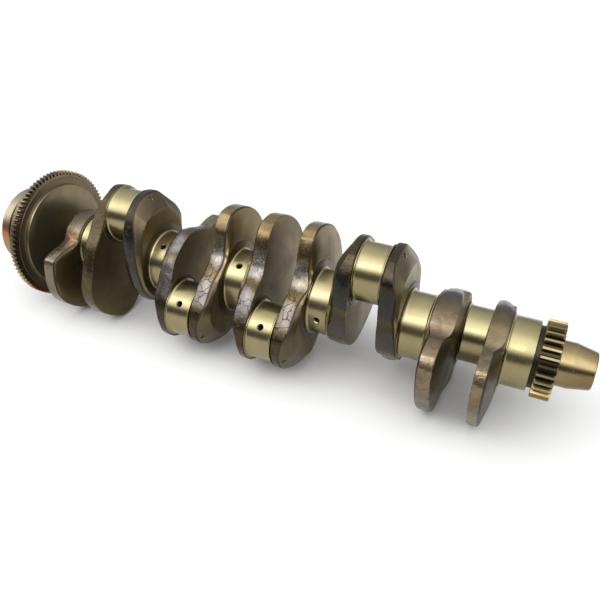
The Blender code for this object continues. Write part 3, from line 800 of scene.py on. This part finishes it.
def cut_gallery(obj, pin):
    """Drills the oil gallery's end square to the cone over the pin end, and plugs it."""
    plug_low, plug_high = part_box(f"gallery_plug_{pin}")
    radial = Vector((0, *polar(1, pin_angle[pin])))
    normal = (Vector((WEB_TIP_RADIUS - CONE_RADIUS, 0, 0)) + radial * CONE_DEPTH).normalized()
    mouth = (plug_low + plug_high) / 2 + normal * PLUG_HALF_DEPTH
    cut(obj, [drill_tool(mouth, -normal, PLUG_RADIUS, PLUG_MOUTH_RADIUS, GALLERY_DEPTH)])
    for poly in obj.data.polygons:
        aside = poly.center - mouth
        along = aside.dot(normal)
        if (aside - normal * along).length < PLUG_RADIUS * 1.02 and along < -0.5 * MM:
            poly.material_index = BOSS
    build_plug(pin, mouth, normal)


def build_web(number):
    node = f"web_{number}"
    pin = (number + 1) // 2
    low, high = ends(node)
    nose_side = number % 2 == 1
    main_x, pin_x = (high, low) if nose_side else (low, high)
    inward = -1 if nose_side else 1
    outline = fine_outline(number)
    reach = [hypot(y, z) for y, z in outline]
    angles = [degrees(atan2(z, y)) for y, z in outline]
    sections = [web_section(number, radius, between(angle, pin_angle[pin]), high - low)
                for radius, angle in zip(reach, angles)]
    rings = [[(main_x + inward * section[level][0], *polar(section[level][1], angle))
              for section, angle in zip(sections, angles)]
             for level in range(len(sections[0]))]
    bm = bmesh.new()
    loft(bm, rings, material_of=lambda level, i: sections[i][min(level + 1, len(rings) - 1)][2])
    displace(bm, number)
    obj = new_piece(f"web_fine_{number}", bm, web_materials(number, pin, (low + high) / 2),
                    [node], sharp=WEB_SHARP)
    if nose_side:
        cut_gallery(obj, pin)

    whole = bmesh.new()
    whole.from_mesh(obj.data)
    bmesh.ops.remove_doubles(whole, verts=whole.verts, dist=SLIVER)
    bmesh.ops.dissolve_degenerate(whole, edges=whole.edges, dist=SLIVER)
    boss_plate(whole, pin_axis[pin], plate_outline(outline, pin_axis[pin]), pin_x, -inward)
    bmesh.ops.recalc_face_normals(whole, faces=whole.faces)
    whole.to_mesh(obj.data)
    whole.free()
    obj.data.shade_smooth()
    obj.data.set_sharp_from_angle(angle=radians(WEB_SHARP))


PLUG_SIDES = 32
PLUG_LENGTH = 5 * MM
PLUG_SINK = 2.2 * MM          # how far a plug's rim lies below the mouth of its hole
PLUG_GAP = 0.05 * MM          # between a plug and the wall of its hole


def build_plug(pin, mouth, normal):
    """Cup plug pressed into the end of an oil gallery."""
    rim = -PLUG_SINK
    outer = PLUG_RADIUS - PLUG_GAP
    profile = [(rim - PLUG_LENGTH, outer), (rim - 0.3 * MM, outer), (rim, outer - 0.3 * MM),
               (rim, outer - 0.8 * MM), (rim - 0.9 * MM, outer - 1.1 * MM), (rim - 1.1 * MM, 0.4 * MM)]
    bm = bmesh.new()
    loft(bm, turned_rings(mouth, normal, profile, PLUG_SIDES))
    new_piece(f"plug_fine_{pin}", bm, [plain_mat], [f"gallery_plug_{pin}"])


for number in WEB_NUMBERS:
    build_web(number)


# ---------------------------------------------------------------- round web, ring, flange, nose

# one flank of a tooth as (share of the tooth's height, its width there as a share of the pitch)
TOOTH_FLANK = ((0, 0.66), (0.35, 0.50), (0.75, 0.36), (1, 0.24))
GAP_HEIGHT = 0.4              # painted shade between the teeth reaches this share of a tooth's height


def gear(bm, x_low, x_high, teeth, root, tip, bore, edge):
    """Spur gear as a closed ring with bevelled tooth ends; material 1, painted shade, lies between the
    teeth.
    """
    flank = [(root + (tip - root) * height, width) for height, width in TOOTH_FLANK]
    shape = [(r, -width) for r, width in flank] + [(r, width) for r, width in reversed(flank)]
    angles, radii = [], []
    for k in range(teeth):
        for radius, width in shape:
            angles.append(2 * pi * (k + width / 2) / teeth)
            radii.append(radius)
    rings = []
    for x, shrink in ((x_low, edge), (x_low + edge, 0), (x_high - edge, 0), (x_high, edge)):
        rings.append([(x, (r - shrink) * cos(a), (r - shrink) * sin(a)) for a, r in zip(angles, radii)])
    for x in (x_high, x_low):
        rings.append([(x, bore * cos(a), bore * sin(a)) for a in angles])
    made = [[bm.verts.new(p) for p in ring] for ring in rings]
    made.append(made[0])
    count = len(angles)
    gap_top = root + GAP_HEIGHT * (tip - root)
    for a, b in zip(made, made[1:]):
        for i in range(count):
            j = (i + 1) % count
            face = bm.faces.new((a[i], a[j], b[j], b[i]))
            # faces low between the teeth get material 1, painted shade
            low_on_tooth = max(radii[i], radii[j]) < gap_top and a is not made[0]
            nearest = min(hypot(v.co.y, v.co.z) for v in (a[i], b[i]))
            face.material_index = int(low_on_tooth and nearest > root - 2 * edge)


disc_mat = web_face_steel("disc_face", (0.24, 0.20, 0.125), (0.16, 0.128, 0.075), 61,
                          roughness=(0.26, 0.4))
web_low, web_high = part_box("web_12_round")
ring_low, ring_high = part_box("toothed_ring")
flange_low, flange_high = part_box("rear_flange")
gear_low, gear_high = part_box("front_gear")
nose_low, nose_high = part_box("nose_stub")
carrier_mat = web_face_steel("ring_carrier_face", (0.175, 0.142, 0.087), (0.10, 0.078, 0.045), 66,
                             roughness=(0.3, 0.44))
ring_mat = ground_steel("ring_steel", (0.18, 0.145, 0.09), (0.14, 0.10, 0.055), (0.3, 0.44), 200,
                        ((0.17, 0.075, 0.03), (ring_high[0], -60 * MM, -85 * MM), 30 * MM, 100 * MM))
flange_mat = ground_steel("flange_steel", (0.25, 0.225, 0.15), (0.22, 0.19, 0.12), (0.24, 0.36), 300,
                          ((0.42, 0.17, 0.05), ((flange_low[0] + flange_high[0]) / 2, -66 * MM, 16 * MM),
                           5 * MM, 30 * MM))
gear_mat = ground_steel("gear_tooth_steel", (0.25, 0.21, 0.11), (0.19, 0.14, 0.06), (0.24, 0.36), 200,
                        ((0.30, 0.16, 0.035), (gear_high[0], -30 * MM, -52 * MM), 18 * MM, 52 * MM))
# the dark brown patch low on the nose's front is painted shade
nose_mat = ground_steel("nose_steel", (0.25, 0.195, 0.10), (0.195, 0.14, 0.062), (0.22, 0.30), 500,
                        ((0.14, 0.085, 0.036), (nose_high[0], -16 * MM, -26 * MM), 12 * MM, 46 * MM))
# near-black painted shade for the tooth gaps and the groove beside the timing gear
gap_shade_mat = web_face_steel("tooth_gap_painted_shade", (0.045, 0.034, 0.022), (0.02, 0.015, 0.01), 71)

RING_STEP = 0.3 * MM          # how far the carrier stands out past the ring
CARRIER_RADIUS = 96 * MM
DISC_RADIUS = 84.5 * MM
DISC_SIDES = 192
RING_TEETH, RING_ROOT, RING_TIP = 86, 100.2 * MM, 105.5 * MM
GEAR_TEETH, GEAR_ROOT, GEAR_TIP = 28, 44.5 * MM, 51.6 * MM
BOLT_CIRCLE = 46 * MM
BOLT_RADIUS, BOLT_MOUTH_RADIUS, BOLT_DEPTH = 6.2 * MM, 7.2 * MM, 11 * MM
DOWEL_ANGLE = 90
DOWEL_RADIUS, DOWEL_MOUTH_RADIUS, DOWEL_DEPTH = 5.1 * MM, 5.6 * MM, 8 * MM
NOSE_SEAT_RADIUS = 34.9 * MM  # under the timing gear
NOSE_RADIUS = 29.7 * MM
GROOVE_LENGTH = 18 * MM       # straight stretch from the timing gear to the taper

step_x = ring_high[0] + RING_STEP
bm = bmesh.new()
turned(bm, [(web_low[0], 60 * MM), (web_low[0], CARRIER_RADIUS - 1.5 * MM),
            (web_low[0] + 1.5 * MM, CARRIER_RADIUS), (step_x - 0.4 * MM, CARRIER_RADIUS),
            (step_x, CARRIER_RADIUS - 0.4 * MM), (step_x, DISC_RADIUS + 1.2 * MM),
            (step_x + 0.6 * MM, DISC_RADIUS + 0.2 * MM), (web_high[0] - 1.4 * MM, DISC_RADIUS),
            (web_high[0] - 0.4 * MM, DISC_RADIUS - 0.5 * MM), (web_high[0], DISC_RADIUS - 1.6 * MM),
            (web_high[0], 70 * MM), (web_high[0], 55 * MM)], sides=DISC_SIDES)
turned(bm, [(step_x, 44 * MM), (step_x, 46 * MM), (web_high[0] - 0.5 * MM, 46 * MM),
            (web_high[0], 45.5 * MM)], pin_axis[6])
for face in bm.faces:
    face_middle = face.calc_center_median()
    face.material_index = int(hypot(face_middle.y, face_middle.z) > DISC_RADIUS + 0.5 * MM)
new_piece("web_12_fine", bm, [disc_mat, carrier_mat], ["web_12_round"])

bm = bmesh.new()
gear(bm, ring_low[0], ring_high[0], RING_TEETH, RING_ROOT, RING_TIP, CARRIER_RADIUS + 0.1 * MM, 0.6 * MM)
new_piece("ring_fine", bm, [ring_mat, gap_shade_mat], ["toothed_ring"], sharp=30)

flange_radius = (flange_high[2] - flange_low[2]) / 2
bm = bmesh.new()
turned(bm, [(flange_low[0], flange_radius - 4.5 * MM), (flange_low[0] + 1.5 * MM, flange_radius - 0.6 * MM),
            (flange_low[0] + 2.2 * MM, flange_radius), (flange_high[0] - 1.2 * MM, flange_radius),
            (flange_high[0], flange_radius - 1.2 * MM)])
flange = new_piece("flange_fine", bm, [flange_mat], ["rear_flange"])
bolts = []
for k in range(8):
    bolt_mouth = (flange_low[0], *polar(BOLT_CIRCLE, 22.5 + 45 * k))
    bolts.append(drill_tool(bolt_mouth, (1, 0, 0), BOLT_RADIUS, BOLT_MOUTH_RADIUS, BOLT_DEPTH))
dowel_mouth = (flange_low[0], *polar(BOLT_CIRCLE, DOWEL_ANGLE))
bolts.append(drill_tool(dowel_mouth, (1, 0, 0), DOWEL_RADIUS, DOWEL_MOUTH_RADIUS, DOWEL_DEPTH))
cut(flange, bolts)

taper_x = gear_high[0] + GROOVE_LENGTH
bm = bmesh.new()
turned(bm, [(nose_low[0], 41 * MM), (gear_low[0] - 0.1 * MM, 41 * MM),
            (gear_low[0] - 0.1 * MM, NOSE_SEAT_RADIUS), (gear_high[0] - 0.3 * MM, NOSE_SEAT_RADIUS),
            (gear_high[0] - 0.3 * MM, NOSE_RADIUS), (taper_x - 0.3 * MM, NOSE_RADIUS),
            (taper_x, 29.45 * MM), (nose_high[0] - 2.0 * MM, 24.8 * MM),
            (nose_high[0] - 0.9 * MM, 24.2 * MM), (nose_high[0], 23.3 * MM)])
# the collar between main journal 1 and the timing gear gets painted shadow
for face in bm.faces:
    face.material_index = int(face.calc_center_median().x < gear_low[0])
new_piece("nose_fine", bm, [nose_mat, gap_shade_mat], ["nose_stub"], sharp=25)
bm = bmesh.new()
gear(bm, gear_low[0], gear_high[0], GEAR_TEETH, GEAR_ROOT, GEAR_TIP, 35 * MM, 0.8 * MM)
new_piece("front_gear_fine", bm, [gear_mat, gap_shade_mat], ["front_gear"], sharp=30)

for name in ("flange_dowel", "gear_key"):
    mesh = nodes[name].data
    mesh.materials.clear()
    mesh.materials.append(plain_mat)


# ---------------------------------------------------------------- floor, light, camera

FLOOR_REACH = 40.0            # metres each way
FLOOR_GAP = 0.2 * MM
FLOOR_COLOUR = (0.56, 0.545, 0.525)
FLOOR_GRAIN_SCALE = 40
FLOOR_RELIEF = 0.1 * MM


def floor():
    """Pale floor just below the crank."""
    bm = bmesh.new()
    corners = [(-FLOOR_REACH, -FLOOR_REACH), (FLOOR_REACH, -FLOOR_REACH),
               (FLOOR_REACH, FLOOR_REACH), (-FLOOR_REACH, FLOOR_REACH)]
    bm.faces.new([bm.verts.new((x, y, cad_low[2] - FLOOR_GAP)) for x, y in corners])
    mesh = bpy.data.meshes.new("floor")
    bm.to_mesh(mesh)
    bm.free()
    obj = bpy.data.objects.new("floor", mesh)
    bpy.context.scene.collection.objects.link(obj)
    mat, tree, shader = node_material("floor_paint", FLOOR_COLOUR, 0.0)
    shader.inputs["Roughness"].default_value = 0.85
    shader.inputs["Specular IOR Level"].default_value = 0.1
    grain = noise_node(tree, coordinates(tree), FLOOR_GRAIN_SCALE, 3)
    bump(tree, shader, grain, FLOOR_RELIEF)
    mesh.materials.append(mat)


def softbox(name, place, target, size, watts):
    """White rectangular light at place, facing target."""
    light = bpy.data.lights.new(name, "AREA")
    light.shape = "RECTANGLE"
    light.size, light.size_y = size
    light.energy = watts
    obj = bpy.data.objects.new(name, light)
    bpy.context.scene.collection.objects.link(obj)
    obj.location = place
    obj.rotation_euler = (Vector(target) - Vector(place)).to_track_quat("-Z", "Y").to_euler()


SKY_STOPS = (
    # angle about X from the front horizon up and over to the back one, brightness
    (0, 0.06), (29, 0.08), (37, 2.6), (48, 3.9), (74, 3.4), (100, 1.7), (140, 1.0), (180, 0.35),
)
SKY_TINT = (0.97, 1.0, 1.03)
KEY_OFFSET = (-0.6, -1.6, 2.2)       # from the crank's middle
KEY_SIZE = (2.4, 0.6)
KEY_WATTS = 16
CAMERA_PLACE = (0.8295, -0.6819, 0.5154)
CAMERA_TILT = 55.06                  # degrees up from straight down
CAMERA_TURN = 24.76                  # degrees about Z


def studio_world():
    """A long soft strip light parallel to the crank, over a dim front and a mid-bright back.

    What the lens sees beyond the floor is a plain pale wall.
    """
    world = bpy.data.worlds.new("studio")
    bpy.context.scene.world = world
    world.use_nodes = True
    tree = world.node_tree
    background = tree.nodes["Background"]
    source = tree.nodes.new("ShaderNodeTexCoord")
    split = tree.nodes.new("ShaderNodeSeparateXYZ")
    tree.links.new(source.outputs["Generated"], split.inputs["Vector"])
    forward = math_node(tree, "MULTIPLY", split.outputs["Y"], -1.0)
    angle = math_node(tree, "ARCTAN2", split.outputs["Z"], forward)
    share = math_node(tree, "DIVIDE", angle, pi)
    brightest = max(value for _, value in SKY_STOPS)
    colour = ramp(tree, share, [(stop / 180, value / brightest) for stop, value in SKY_STOPS])
    tree.links.new(mix(tree, 1.0, colour, SKY_TINT, "MULTIPLY"), background.inputs["Color"])
    background.inputs["Strength"].default_value = brightest
    wall = tree.nodes.new("ShaderNodeBackground")
    wall.inputs["Color"].default_value = (1, 1, 1, 1)
    seen = tree.nodes.new("ShaderNodeLightPath")
    choice = tree.nodes.new("ShaderNodeMixShader")
    tree.links.new(seen.outputs["Is Camera Ray"], choice.inputs["Fac"])
    tree.links.new(background.outputs["Background"], choice.inputs[1])
    tree.links.new(wall.outputs["Background"], choice.inputs[2])
    tree.links.new(choice.outputs["Shader"], tree.nodes["World Output"].inputs["Surface"])


floor()
middle = (cad_low + cad_high) / 2
softbox("key", middle + Vector(KEY_OFFSET), middle, KEY_SIZE, KEY_WATTS)
studio_world()

camera_data = bpy.data.cameras.new("camera")
camera_data.sensor_width = 36
camera_data.lens = 37.4
camera = bpy.data.objects.new("camera", camera_data)
bpy.context.scene.collection.objects.link(camera)
camera.location = CAMERA_PLACE
camera.rotation_euler = (radians(CAMERA_TILT), 0, radians(CAMERA_TURN))
bpy.context.scene.camera = camera
bpy.context.scene.view_settings.view_transform = "Standard"
